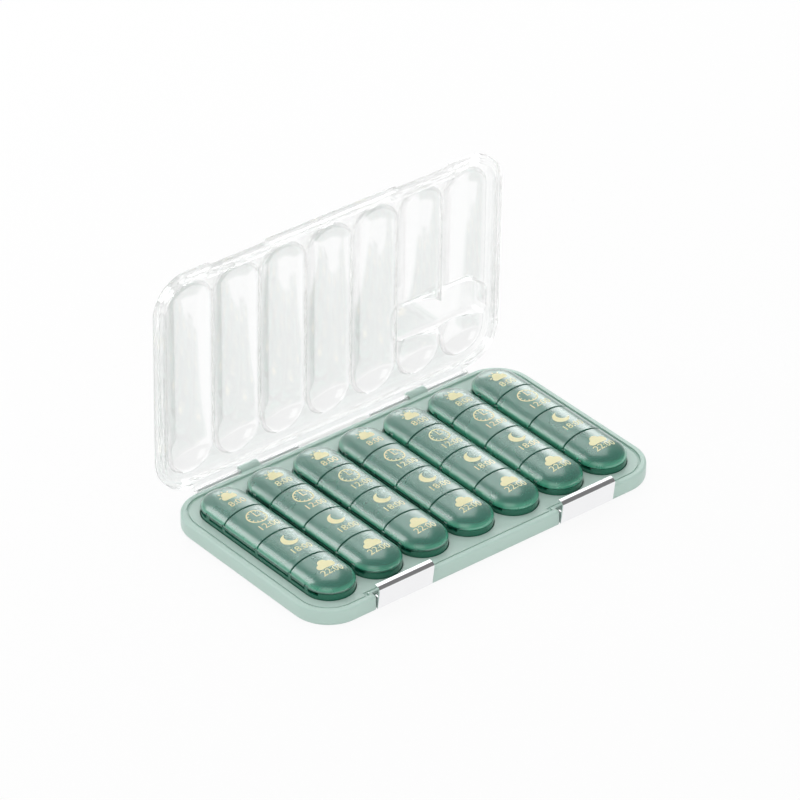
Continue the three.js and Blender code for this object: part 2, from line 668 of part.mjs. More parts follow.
["left", "right"].forEach((side, index) => {
  const sign = index ? 1 : -1;
  const pin = mesh(`hinge_pin_${side}`, hingePin, STEEL);
  pin.position.set((sign * (HINGE_LENGTH - HINGE_PIN_LENGTH)) / 2, HINGE_Y, HINGE_HEIGHT);
  const plate = mesh(`latch_${side}`, latchGeometry, CHROME);
  plate.position.set(LATCH_CENTRES[index], LATCH_PIVOT_Y, LATCH_PIVOT_HEIGHT);
  plate.rotation.x = THREE.MathUtils.degToRad(LATCH_REST_DEG);
  const axle = mesh(`latch_pin_${side}`, latchPin, STEEL);
  axle.position.set(LATCH_CENTRES[index], LATCH_PIVOT_Y, LATCH_PIVOT_HEIGHT);
  pillBox.add(pin, plate, axle);
});

export default pillBox;
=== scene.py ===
import json
import math

import bmesh
import bpy
from mathutils import Matrix, Vector

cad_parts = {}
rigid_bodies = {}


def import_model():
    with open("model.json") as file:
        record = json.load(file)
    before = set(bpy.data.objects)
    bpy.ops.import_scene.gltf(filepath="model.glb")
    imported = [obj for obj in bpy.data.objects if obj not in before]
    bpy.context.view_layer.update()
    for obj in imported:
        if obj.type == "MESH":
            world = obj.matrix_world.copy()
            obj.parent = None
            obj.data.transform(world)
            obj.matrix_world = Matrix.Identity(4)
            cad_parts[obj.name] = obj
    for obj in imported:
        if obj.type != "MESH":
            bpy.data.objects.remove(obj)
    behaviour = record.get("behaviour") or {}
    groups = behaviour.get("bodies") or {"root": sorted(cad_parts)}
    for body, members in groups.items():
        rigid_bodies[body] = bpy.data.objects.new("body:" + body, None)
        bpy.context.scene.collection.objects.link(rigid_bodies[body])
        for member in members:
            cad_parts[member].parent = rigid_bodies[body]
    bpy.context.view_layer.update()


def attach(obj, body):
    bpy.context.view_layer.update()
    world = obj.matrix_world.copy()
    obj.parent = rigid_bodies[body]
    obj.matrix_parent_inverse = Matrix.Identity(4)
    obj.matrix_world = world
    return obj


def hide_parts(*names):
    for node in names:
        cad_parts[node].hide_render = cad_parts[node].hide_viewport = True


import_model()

# All sizes are in millimetres, as in the CAD. MM turns them into Blender's metres.
MM = 0.001
OVERRUN = 1.0
SEAT_GAP = 0.3
PIN_CLEARANCE = 0.3
FAR = 30.0  # further than a box is wide or high

# Day boxes
DAY_COUNT = 7
DAY_PITCH = 30.0
BOX_HALF_WIDTH = 13.6
BOX_HALF_LENGTH = 54.6
BOX_FOOT = 1.9
BOX_TOP = 12.0
BOX_WALL = 1.2
BOX_FOOT_SLOPE = 1.2
SCOOP_RISE = 4.6
DIVIDER_WALL = 1.2
CELL_NAMES = ("morning", "noon", "evening", "night")
BOUNDARIES = (26.6, 0.0, -26.6)
STRAIGHT_HALF = BOX_HALF_LENGTH - BOX_HALF_WIDTH

# Lids
LID_FOOT = 12.3
LID_RISE = 6.7
LID_WALL = 1.2
LID_SPLIT = 0.7
LID_EDGE = 0.35
LID_EDGE_PAST = (0.1, 0.05)  # how far the rounded ends run on, along the lid and out of it
BARREL_RADIUS = 1.2
BARREL_X = -12.3
STUB_RADIUS = 0.5
STUB_LENGTH = 0.9
LUG_RADIUS = 1.3
LUG_WIDTH = 2.4
LUG_REACH = 1.4
LEDGE = BOX_TOP - BARREL_RADIUS - SEAT_GAP
TAB_LENGTH = 9.0
TAB_REACH = 0.4
TAB_HEIGHT = 0.9
LUG_CENTRES = (STRAIGHT_HALF - LUG_WIDTH / 2,) + BOUNDARIES + (LUG_WIDTH / 2 - STRAIGHT_HALF,)

# Tray
TRAY_HALF_LENGTH = 113.0
TRAY_HALF_DEPTH = 64.0
TRAY_CORNER = 21.0
TRAY_HEIGHT = 9.2
TRAY_FOOT_ROUND = 2.2
TRAY_TOP_ROUND = 1.3
TRAY_FLOOR = 1.6
FOOT_WIDTH = 3.6
RIM_WIDTH = 3.0
DECK = 8.6
DECK_THICKNESS = 1.8
GROOVE_WIDTH = 1.5
GROOVE_DEPTH = 0.7
POCKET_CLEARANCE = 0.4
POCKET_WALL = 1.4

# Cover
COVER_FOOT = 9.5
SHOULDER = 13.4
WEB = 12.1
COVER_WALL = 1.3
COVER_TOP_ROUND = 1.2
COVER_OPENING = math.radians(90)
SKIRT_WALL = 2.0
DOME_HALF_WIDTH = 14.5
DOME_HALF_LENGTH = 56.2
DOME_SIDE_WALL = 1.1
DOME_CROWN = 20.4
DOME_FLARE = 0.45
LIP_CLEARANCE = 0.3
LIP_WALL = 1.2
BADGE_HALF_LENGTH = 27.8
BADGE_HALF_DEPTH = 10.5
BADGE_CORNER = 6.0
BADGE_CENTRE = (78.3, 28.2)
BADGE_ROUND = 1.2
BADGE_TOP = 22.2

# Hinge
HINGE_Y = 66.4
HINGE_Z = 8.0
HINGE_RADIUS = 2.0
HINGE_GAP = 0.4
HINGE_BORE_HALF_LENGTH = 100.0
HINGE_HALF_SPAN = 90.0
TRAY_KNUCKLES = ((-62.0, -50.0), (50.0, 62.0))
KNUCKLE_GAP = 0.4
KNUCKLE_ARM = 1.5
HEEL_REACH = 2.8
HEEL_TOP = 10.1
LEAF_RISE = 4.0
LEAF_ROUND = 1.4
HINGE_PIN_RADIUS = 0.8
HINGE_PIN_LENGTH = 66.0

# Latches
LATCH_CENTRES = (-60.2, 60.2)
LATCH_HALF_WIDTH = 17.65
LATCH_SHEET = 0.9
LATCH_BEND = 2.4
LATCH_FRONT = -2.8  # from the pivot, as is the foot
LATCH_FOOT = -1.7
HOOK_REACH = 4.0
HOOK_NOSE = 0.9
HOOK_DROP = 0.7
EAR_RADIUS = 1.6
LATCH_REST = math.radians(7)
EAR_RISE = 5.2
PIVOT_Y = -62.2
PIVOT_Z = 3.8
LATCH_PIN_RADIUS = 0.7
LATCH_BORE_RADIUS = LATCH_PIN_RADIUS + PIN_CLEARANCE
LATCH_PIN_GRIP = 2.5  # of each pin end in the tray
NOTCH_HALF_WIDTH = 18.15
NOTCH_BACK = -60.2
NOTCH_RIM = 1.6
NOTCH_BLOCK = 4.0
COVER_NOTCH_BACK = -61.8

# Prints on the lids: each sign about its own middle, and where the prints lie on a box. Round parts
# are a centre and a radius. Straight ones are two values of X and two of Y.
PRINT_DEPTH = 30.0
PRINT_LIFT = 0.04
CLOUD_PUFFS = ((-3.2, -1.3, 2.1), (-0.2, 0.6, 3.0), (3.1, -0.8, 2.5))
CLOUD_BASE = (-3.3, 3.2, -3.3, -0.6)
CLOCK_RADIUS = 5.6
CLOCK_INNER_RADIUS = 4.9
CLOCK_HANDS = ((-0.3, 0.3, -0.3, 3.4), (-0.3, 2.3, -0.3, 0.3))
CLOCK_MARK = (3.9, 4.95, -0.25, 0.25)
CLOCK_HOURS = 12
HOUR_TURN = math.pi / 6
CRESCENT_RADIUS = 4.5
CRESCENT_BITE = (1.9, 1.5, 3.4)
SUN_CENTRE = (-0.6, 0.2)
SUN_RADIUS = 2.7
SUN_RAY = (3.2, 4.4, -0.35, 0.35)
SUN_RAYS = 5
RAY_TURN = math.pi / 4
SUN_PUFFS = ((-2.6, -1.6, 1.7), (2.6, -1.4, 1.9))
SUN_BASE = (-2.7, 2.7, -3.3, -1.0)
HOURS = ("8:00", "12:00", "18:00", "22:00")
HOURS_HEIGHT = 4.4
HOURS_FONT_RATIO = 1.35  # the font's size over the height of its figures
HOURS_WELD = 0.0005
SIGN_PLACES = ((0.0, 40.8), (0.0, 16.9), (0.0, -9.4), (0.3, -36.8))
HOURS_PLACES = ((0.5, 33.2), (0.5, 7.4), (0.5, -18.6), (0.6, -43.0))

# Rounded edges
TRAY_EDGE = 0.25
BOX_EDGE = 0.22
COVER_EDGE = 0.35
LATCH_EDGE = 0.12
PIN_EDGE = 0.1
SHARP_FROM = math.radians(50)

# Facets
END_STEPS = 20
CORNER_STEPS = 14
DOME_STEPS = 14
SCOOP_STEPS = 8
FOOT_STEPS = 4
ROUND_STEPS = 5
ROD_STEPS = 28
LEAF_STEPS = 6
BEND_INNER_STEPS = 8
BEND_STEPS = 10
LID_EDGE_STEPS = 3
DISC_STEPS = 36
FONT_STEPS = 4

# A dome's last level stops short of its crown by this share of a step
CROWN_SHARE = 0.12

# Edges shorter than this are closed up
DEGENERATE = 0.002

# A corner takes a dome's exact normal where it is on the dome within this share of the dome's size,
# and where its face follows the dome, by the cosine between their normals
ON_DOME = 0.006
NEAR_NORMAL = 0.94

DAYS = [(day + 1, (day - (DAY_COUNT - 1) / 2) * DAY_PITCH) for day in range(DAY_COUNT)]


# Outlines, counter-clockwise, drawn in by an inset
def arc(x, y, radius, start, end, steps):
    turns = [start + (end - start) * step / steps for step in range(steps + 1)]
    return [(x + radius * math.cos(t), y + radius * math.sin(t)) for t in turns]


def stadium(half_width, half_length):
    centre = half_length - half_width

    def outline(inset):
        radius = half_width - inset
        rear = arc(0, centre, radius, 0, math.pi, END_STEPS)
        return rear + arc(0, -centre, radius, math.pi, 2 * math.pi, END_STEPS)

    return outline


def rounded_rectangle(half_x, half_y, corner):
    def outline(inset):
        points = []
        for quarter, (sx, sy) in enumerate(((1, 1), (-1, 1), (-1, -1), (1, -1))):
            x, y = sx * (half_x - corner), sy * (half_y - corner)
            start = quarter * math.pi / 2
            points += arc(x, y, corner - inset, start, start + math.pi / 2, CORNER_STEPS)
        return points

    return outline


# Levels of a loft, each an inset and a height
def dome_levels(half_width, foot, rise, steps=DOME_STEPS):
    last = (math.pi / 2) * (steps / (steps + CROWN_SHARE))
    turns = [last * step / steps for step in range(steps + 1)]
    return [(half_width * (1 - math.cos(t)), foot + rise * math.sin(t) / math.sin(last)) for t in turns]


def foot_levels(radius, foot, steps, side=1):
    """A quarter round at the foot of a wall, drawn in, or out where the side is -1."""
    turns = [math.pi / 2 * step / steps for step in range(steps + 1)]
    return [(side * radius * (1 - math.sin(t)), foot + radius * (1 - math.cos(t))) for t in turns]


def plate_levels(foot, top, foot_round, top_round):
    turns = [math.pi / 2 * step / ROUND_STEPS for step in range(ROUND_STEPS + 1)]
    low = foot_levels(foot_round, foot, ROUND_STEPS)
    high = [(top_round * (1 - math.cos(t)), top - top_round * (1 - math.sin(t))) for t in turns]
    return (low if foot_round else [(0, foot)]) + (high if top_round else [(0, top)])


# Solids
def solid_of(points, faces):
    mesh = bpy.data.meshes.new("solid")
    mesh.from_pydata(points, [], faces)
    mesh.validate()
    solid = bpy.data.objects.new("solid", mesh)
    bpy.context.scene.collection.objects.link(solid)
    return solid


def loft(outline, levels):
    rings = [[(x, y, z) for x, y in outline(inset)] for inset, z in levels]
    size = len(rings[0])
    faces = []
    for ring in range(len(rings) - 1):
        for i in range(size):
            low, high, j = ring * size, (ring + 1) * size, (i + 1) % size
            faces.append((low + i, low + j, high + j, high + i))
    faces.append(tuple(reversed(range(size))))
    faces.append(tuple((len(rings) - 1) * size + i for i in range(size)))
    return solid_of([point for ring in rings for point in ring], faces)


def block(x0, x1, y0, y1, z0, z1):
    return loft(lambda inset: [(x0, y0), (x1, y0), (x1, y1), (x0, y1)], [(0, z0), (0, z1)])


def bar_x(section, x0, x1):
    """A section drawn in Y and Z, counter-clockwise, pushed along X."""
    bar = loft(lambda inset: section, [(0, x0), (0, x1)])
    bar.data.transform(Matrix(((0, 0, 1, 0), (1, 0, 0, 0), (0, 1, 0, 0), (0, 0, 0, 1))))
    return bar


def rod_x(radius, x0, x1, y, z):
    return bar_x(arc(y, z, radius, 0, 2 * math.pi, ROD_STEPS)[:-1], x0, x1)


def rod_y(radius, y0, y1, x, z):
    rod = rod_x(radius, y0, y1, -x, z)
    rod.data.transform(Matrix.Rotation(math.pi / 2, 4, "Z"))
    return rod


def twin(solid, x=0.0):
    """A copy, moved along X."""
    copy = bpy.data.objects.new("solid", solid.data.copy())
    copy.data.transform(Matrix.Translation((x, 0, 0)))
    bpy.context.scene.collection.objects.link(copy)
    return copy


def row(solid):
    """The solid once for each day, and the first one is used up."""
    copies = [twin(solid, x) for _, x in DAYS]
    bpy.data.objects.remove(solid)
    return copies


def settle(solid):
    """The solid's modifiers become its mesh."""
    graph = bpy.context.evaluated_depsgraph_get()
    mesh = bpy.data.meshes.new_from_object(solid.evaluated_get(graph))
    solid.modifiers.clear()
    solid.data = mesh


def combine(solid, tools, operation):
    for tool in tools:
        step = solid.modifiers.new("step", "BOOLEAN")
        step.solver = "MANIFOLD"
        step.operation = operation
        step.object = tool
    settle(solid)
    for tool in tools:
        bpy.data.objects.remove(tool)
    return solid


def cut(solid, tools):
    return combine(solid, tools, "DIFFERENCE")


def join(solid, others):
    return combine(solid, others, "UNION")


def meet(solid, other):
    return combine(solid, [other], "INTERSECT")


def soften(solid, width, segments=2, angle=40):
    """Rounded edges, and smooth shading that leaves the flats flat."""
    if width:
        edges = solid.modifiers.new("edges", "BEVEL")
        edges.width = width
        edges.segments = segments
        edges.limit_method = "ANGLE"
        edges.angle_limit = math.radians(angle)
        edges.miter_outer = "MITER_ARC"
        edges.use_clamp_overlap = True
    settle(solid)
    work = bmesh.new()
    work.from_mesh(solid.data)
    bmesh.ops.dissolve_degenerate(work, dist=DEGENERATE, edges=work.edges)
    work.to_mesh(solid.data)
    work.free()
    solid.data.shade_smooth()
    solid.data.set_sharp_from_angle(angle=SHARP_FROM)
    normals = solid.modifiers.new("normals", "WEIGHTED_NORMAL")
    normals.keep_sharp = True
    settle(solid)
    return solid


def dome_normals(solid, domes):
    """Exact normals on domes, each a centre in X, a half width and length, a foot, a rise and a side."""
    mesh = solid.data
    normals = [corner.vector.copy() for corner in mesh.corner_normals]
    for face in mesh.polygons:
        for loop in face.loop_indices:
            at = mesh.vertices[mesh.loops[loop].vertex_index].co
            for x, half_width, half_length, foot, rise, side in domes:
                if abs(at.x - x) > half_width * (1 + ON_DOME) or at.z < foot:
                    continue
                past = max(abs(at.y) + half_width - half_length, 0)
                across, up = (at.x - x) / half_width, (at.z - foot) / rise
                off = Vector((across, math.copysign(past, at.y) / half_width, up))
                exact = side * Vector((off.x / half_width, off.y / half_width, off.z / rise)).normalized()
                if abs(off.length - 1) < ON_DOME and exact.dot(face.normal) > NEAR_NORMAL:
                    normals[loop] = exact
    mesh.normals_split_custom_set(normals)
    return solid


def place(solid, name, body, nodes, look, shift=(0, 0, 0)):
    """A finished solid becomes a piece of the scene, in metres."""
    mesh = solid.data.copy()
    mesh.transform(Matrix.Scale(MM, 4) @ Matrix.Translation(shift))
    mesh.name = name
    mesh.materials.clear()
    mesh.materials.append(look)
    piece = bpy.data.objects.new(name, mesh)
    bpy.context.scene.collection.objects.link(piece)
    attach(piece, body)
    if nodes:
        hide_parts(*nodes)


# Materials. A surface's gloss goes by a noise's values between NOISE_LOW and NOISE_HIGH, where most lie.
NOISE_LOW = 0.3
NOISE_HIGH = 0.7
SMOOTH_DETAIL = 2.0
FINE_DETAIL = 4.0

# Where the lids' colours change: away from a split line, along X from the hinge side, and upwards
# Painted shade along each split line fades out between these distances from it
SPLIT_SHADE_FULL, SPLIT_SHADE_GONE = 0.4, 0.9
# Painted shade at the hinge side's foot turns to the painted-lit rim along X and upwards
HINGE_SIDE_DARK, HINGE_SIDE_LIT = -12.5, -8
FOOT_DARK, FOOT_LIT = 12.6, 13.6
RIM_CLEAR, RIM_SMOKY = 14.0, 16.0


def material(name, **sockets):
    """A new material, with constant values on its shader's own sockets."""
    made = bpy.data.materials.new(name)
    made.use_nodes = True
    shader = made.node_tree.nodes["Principled BSDF"]
    for socket, value in sockets.items():
        shader.inputs[socket.replace("_", " ")].default_value = value
    return made, shader


def noise(tree, scale, detail=SMOOTH_DETAIL):
    place_in = tree.nodes.new("ShaderNodeTexCoord")
    texture = tree.nodes.new("ShaderNodeTexNoise")
    texture.inputs["Scale"].default_value = scale
    texture.inputs["Detail"].default_value = detail
    tree.links.new(place_in.outputs["Object"], texture.inputs["Vector"])
    return texture.outputs["Fac"]


def stretch(tree, value, before, after, kind="SMOOTHSTEP"):
    """A value, taken from one range to another."""
    node = tree.nodes.new("ShaderNodeMapRange")
    node.interpolation_type = kind
    for name, limit in zip(("From Min", "From Max", "To Min", "To Max"), (*before, *after)):
        node.inputs[name].default_value = limit
    tree.links.new(value, node.inputs["Value"])
    return node.outputs["Result"]


def ramp(tree, value, start, end):
    """From none at the start to all at the end, both in millimetres."""
    return stretch(tree, value, (start * MM, end * MM), (0, 1))


def blend(tree, share, first, second):
    """Two colours, each a constant or a socket, mixed by a share."""
    node = tree.nodes.new("ShaderNodeMix")
    node.data_type = "RGBA"
    for name, colour in (("A", first), ("B", second)):
        if isinstance(colour, tuple):
            node.inputs[name].default_value = (*colour, 1)
        else:
            tree.links.new(colour, node.inputs[name])
    tree.links.new(share, node.inputs["Factor"])
    return node.outputs["Result"]


def ripple(made, shader, scale, depth, strength=1.0):
    """Uneven surface, as a bump in metres."""
    tree = made.node_tree
    bump = tree.nodes.new("ShaderNodeBump")
    bump.inputs["Distance"].default_value = depth
    bump.inputs["Strength"].default_value = strength
    tree.links.new(noise(tree, scale), bump.inputs["Height"])
    tree.links.new(bump.outputs["Normal"], shader.inputs["Normal"])


def mottle(made, shader, scale, low, high):
    """Uneven colour."""
    tree = made.node_tree
    tree.links.new(blend(tree, noise(tree, scale), low, high), shader.inputs["Base Color"])


def scuff(made, shader, scale, low, high):
    """Uneven gloss."""
    tree = made.node_tree
    value = noise(tree, scale, FINE_DETAIL)
    roughness = stretch(tree, value, (NOISE_LOW, NOISE_HIGH), (low, high), "LINEAR")
    tree.links.new(roughness, shader.inputs["Roughness"])


def mint_plastic():
    made, shader = material(
        "mint_plastic",
        IOR=1.5,
        Subsurface_Weight=0.12,
        Subsurface_Radius=(0.004, 0.006, 0.005),
        Subsurface_Scale=1.0,
    )
    mottle(made, shader, scale=60, low=(0.495, 0.655, 0.59), high=(0.515, 0.675, 0.61))
    scuff(made, shader, scale=400, low=0.3, high=0.4)
    ripple(made, shader, scale=1500, depth=0.00002)
    return made


def box_green():
    made, shader = material(
        "box_green",
        IOR=1.49,
        Transmission_Weight=0.5,
        Coat_Weight=0.6,
        Coat_Roughness=0.04,
    )
    mottle(made, shader, scale=45, low=(0.02, 0.26, 0.16), high=(0.03, 0.29, 0.18))
    scuff(made, shader, scale=300, low=0.08, high=0.14)
    ripple(made, shader, scale=90, depth=0.00004, strength=0.1)
    return made


def lid_green():
    """Smoky over the dome and clearer towards the rim. Painted shade darkens it along the end walls of each
    lid and at the hinge side's foot, and the rest of the rim is painted lit.
    """
    made, shader = material(
        "lid_green",
        IOR=1.55,
        Transmission_Weight=0.4,
        Coat_Weight=1.0,
        Coat_Roughness=0.25,
        Coat_IOR=2.0,
    )
    tree = made.node_tree
    smoky = blend(tree, noise(tree, scale=45), (0.03, 0.26, 0.18), (0.042, 0.285, 0.2))
    # Painted shade along each split line
    split_shade_green = (0.015, 0.22, 0.145)
    # Painted shade at the hinge side's foot, and painted light over the rest of the rim
    foot_shade_green = (0.01, 0.13, 0.085)
    rim_lit_green = (0.09, 0.55, 0.35)
    place_in = tree.nodes.new("ShaderNodeTexCoord")
    split = tree.nodes.new("ShaderNodeSeparateXYZ")
    tree.links.new(place_in.outputs["Object"], split.inputs[0])
    along = tree.nodes.new("ShaderNodeMath")
    along.operation = "PINGPONG"
    along.inputs[1].default_value = BOUNDARIES[0] / 2 * MM
    tree.links.new(split.outputs["Y"], along.inputs[0])
    domed = blend(tree, ramp(tree, along.outputs[0], SPLIT_SHADE_FULL, SPLIT_SHADE_GONE), split_shade_green, smoky)
    # The rim is painted lit away from the hinge side's foot and painted shaded there
    rim_lit_share = tree.nodes.new("ShaderNodeMath")
    rim_lit_share.operation = "MAXIMUM"
    tree.links.new(ramp(tree, split.outputs["X"], HINGE_SIDE_DARK, HINGE_SIDE_LIT), rim_lit_share.inputs[0])
    tree.links.new(ramp(tree, split.outputs["Z"], FOOT_DARK, FOOT_LIT), rim_lit_share.inputs[1])
    rim = blend(tree, rim_lit_share.outputs[0], foot_shade_green, rim_lit_green)
    coloured = blend(tree, ramp(tree, split.outputs["Z"], RIM_CLEAR, RIM_SMOKY), rim, domed)
    tree.links.new(coloured, shader.inputs["Base Color"])
    scuff(made, shader, scale=40, low=0.25, high=0.29)
    ripple(made, shader, scale=40, depth=0.00001, strength=0.05)
    return made


def clear_plastic():
    """Clear with a milky share."""
    made, shader = material(
        "clear_plastic",
        IOR=1.25,
        Transmission_Weight=0.95,
        Coat_Weight=1.0,
        Coat_Roughness=0.02,
        Coat_IOR=2.3,
        Alpha=0.5,
    )
    mottle(made, shader, scale=30, low=(0.975, 0.985, 0.98), high=(0.985, 0.995, 0.99))
    scuff(made, shader, scale=300, low=0.03, high=0.06)
    ripple(made, shader, scale=60, depth=0.00008, strength=0.02)
    return made


def chrome():
    made, shader = material("latch_chrome", Metallic=1.0)
    mottle(made, shader, scale=80, low=(0.87, 0.87, 0.88), high=(0.9, 0.9, 0.91))
    scuff(made, shader, scale=500, low=0.08, high=0.16)
    ripple(made, shader, scale=120, depth=0.00003, strength=0.3)
    return made


def steel():
    made, shader = material("pin_steel", Metallic=1.0)
    mottle(made, shader, scale=300, low=(0.78, 0.79, 0.8), high=(0.86, 0.87, 0.88))
    scuff(made, shader, scale=900, low=0.25, high=0.4)
    return made


def cream_ink():
    made, shader = material("cream_ink", IOR=1.45)
    mottle(made, shader, scale=700, low=(0.80, 0.76, 0.44), high=(0.86, 0.82, 0.52))
    scuff(made, shader, scale=900, low=0.35, high=0.5)
    ripple(made, shader, scale=3000, depth=0.00001)
    return made


MINT = mint_plastic()
BOX_GREEN = box_green()
LID_GREEN = lid_green()
CLEAR = clear_plastic()
CHROME = chrome()
STEEL = steel()
INK = cream_ink()


# Tray
def latch_blocks(half_width, back, foot, top):
    """A block at each latch, from past the front edge to its back."""
    front = -TRAY_HALF_DEPTH - OVERRUN
    return [block(x - half_width, x + half_width, front, back, foot, top) for x in LATCH_CENTRES]


def hinge_bore():
    half = HINGE_BORE_HALF_LENGTH
    return rod_x(HINGE_PIN_RADIUS + PIN_CLEARANCE, -half, half, HINGE_Y, HINGE_Z)


def tray_outline(base_inset=0.0):
    outline = rounded_rectangle(TRAY_HALF_LENGTH, TRAY_HALF_DEPTH, TRAY_CORNER)
    return lambda inset: outline(base_inset + inset)


def tray():
    body = loft(tray_outline(), plate_levels(0, TRAY_HEIGHT, TRAY_FOOT_ROUND, TRAY_TOP_ROUND))
    for x0, x1 in TRAY_KNUCKLES:
        parts = [
            rod_x(HINGE_RADIUS, x0, x1, HINGE_Y, HINGE_Z),
            block(x0, x1, TRAY_HALF_DEPTH - KNUCKLE_ARM, HINGE_Y, HINGE_Z - HINGE_RADIUS, DECK),
            block(x0, x1, HINGE_Y, HINGE_Y + HEEL_REACH, HINGE_Z - HINGE_RADIUS / 2, HEEL_TOP),
        ]
        join(body, parts)

    def within_rim(inset, foot, crown):
        solid = loft(tray_outline(RIM_WIDTH + inset), [(0, foot), (0, crown)])
        edge = NOTCH_RIM + inset
        return cut(solid, latch_blocks(NOTCH_HALF_WIDTH + edge, NOTCH_BACK + edge, 0, crown + OVERRUN))

    recess = within_rim(0, DECK, TRAY_HEIGHT + OVERRUN)
    groove = within_rim(0, DECK - GROOVE_DEPTH, DECK + OVERRUN)
    cut(groove, [within_rim(GROOVE_WIDTH, DECK - 2 * GROOVE_DEPTH, TRAY_HEIGHT)])
    pocket_width, pocket_length = BOX_HALF_WIDTH + POCKET_CLEARANCE, BOX_HALF_LENGTH + POCKET_CLEARANCE
    pocket = loft(stadium(pocket_width, pocket_length), [(0, TRAY_FLOOR), (0, TRAY_HEIGHT + OVERRUN)])
    wall = loft(
        stadium(pocket_width + POCKET_WALL, pocket_length + POCKET_WALL),
        [(0, -2 * OVERRUN), (0, TRAY_HEIGHT)],
    )
    hollow = loft(tray_outline(FOOT_WIDTH), [(0, -OVERRUN), (0, DECK - DECK_THICKNESS)])
    around = latch_blocks(NOTCH_HALF_WIDTH + NOTCH_BLOCK, NOTCH_BACK + NOTCH_RIM, -2 * OVERRUN, TRAY_HEIGHT)
    cut(hollow, row(wall) + around)
    half = NOTCH_HALF_WIDTH + LATCH_PIN_GRIP + SEAT_GAP
    bores = [rod_x(LATCH_BORE_RADIUS, x - half, x + half, PIVOT_Y, PIVOT_Z) for x in LATCH_CENTRES]
    cutters = [recess, groove, hollow] + row(pocket) + bores
    cutters += latch_blocks(NOTCH_HALF_WIDTH, NOTCH_BACK, -OVERRUN, TRAY_HEIGHT + OVERRUN)
    cutters.append(hinge_bore())
    cut(body, cutters)
    return soften(body, TRAY_EDGE, angle=35)


# Day box and its lids
def day_box():
    foot = foot_levels(BOX_FOOT_SLOPE, BOX_FOOT, FOOT_STEPS)
    shell = loft(stadium(BOX_HALF_WIDTH, BOX_HALF_LENGTH), foot + [(0, BOX_TOP)])
    inner = BOX_HALF_WIDTH - BOX_WALL
    floor = BOX_FOOT + BOX_WALL
    bowl = dome_levels(inner, 0, SCOOP_RISE, SCOOP_STEPS)
    scoop = [(inset, floor + SCOOP_RISE - climb) for inset, climb in bowl]
    cavity = loft(stadium(inner, BOX_HALF_LENGTH - BOX_WALL), scoop[::-1] + [(0, BOX_TOP + OVERRUN)])
    half = DIVIDER_WALL / 2
    cut(cavity, [block(-FAR, FAR, y - half, y + half, 0, BOX_TOP + 2 * OVERRUN) for y in BOUNDARIES])
    ledge_inner = BARREL_X + LUG_REACH
    reach = STRAIGHT_HALF + math.sqrt(BOX_HALF_WIDTH ** 2 - BARREL_X ** 2) + POCKET_CLEARANCE
    cut(shell, [cavity, block(-FAR, ledge_inner, -reach, reach, LEDGE, BOX_TOP + OVERRUN)])
    lugs = []
    for y in LUG_CENTRES:
        near, far = y - LUG_WIDTH / 2, y + LUG_WIDTH / 2
        lugs.append(rod_y(LUG_RADIUS, near, far, BARREL_X, BOX_TOP))
        lugs.append(block(BARREL_X - BARREL_RADIUS, ledge_inner, near, far, LEDGE - BOX_WALL / 2, BOX_TOP))
    join(shell, lugs)
    cut(shell, [rod_y(STUB_RADIUS + PIN_CLEARANCE, -BOX_HALF_LENGTH, BOX_HALF_LENGTH, BARREL_X, BOX_TOP)])
    return soften(shell, BOX_EDGE)


def lid_dome():
    return loft(stadium(BOX_HALF_WIDTH, BOX_HALF_LENGTH), dome_levels(BOX_HALF_WIDTH, LID_FOOT, LID_RISE))


def lid_bar(front, rear):
    """A domed bar along Y, a little larger than the lids, with rounded ends."""
    def section(inset):
        half_width = BOX_HALF_WIDTH - inset
        levels = dome_levels(half_width, LID_FOOT, LID_RISE - inset)
        half = [(half_width - drawn_in, z) for drawn_in, z in levels]
        return [(-half_width, 0), (half_width, 0)] + half + [(-x, z) for x, z in reversed(half)]

    turns = [math.pi / 2 * step / LID_EDGE_STEPS for step in range(LID_EDGE_STEPS + 1)]
    ends = [(LID_EDGE * (1 - math.cos(t)), LID_EDGE * (1 - math.sin(t))) for t in turns]
    ends.append((LID_EDGE + LID_EDGE_PAST[0], -LID_EDGE_PAST[1]))
    levels = [(inset, along - rear) for along, inset in ends]
    levels += [(inset, -along - front) for along, inset in reversed(ends)]
    bar = loft(section, levels)
    bar.data.transform(Matrix(((1, 0, 0, 0), (0, 0, -1, 0), (0, 1, 0, 0), (0, 0, 0, 1))))
    return bar


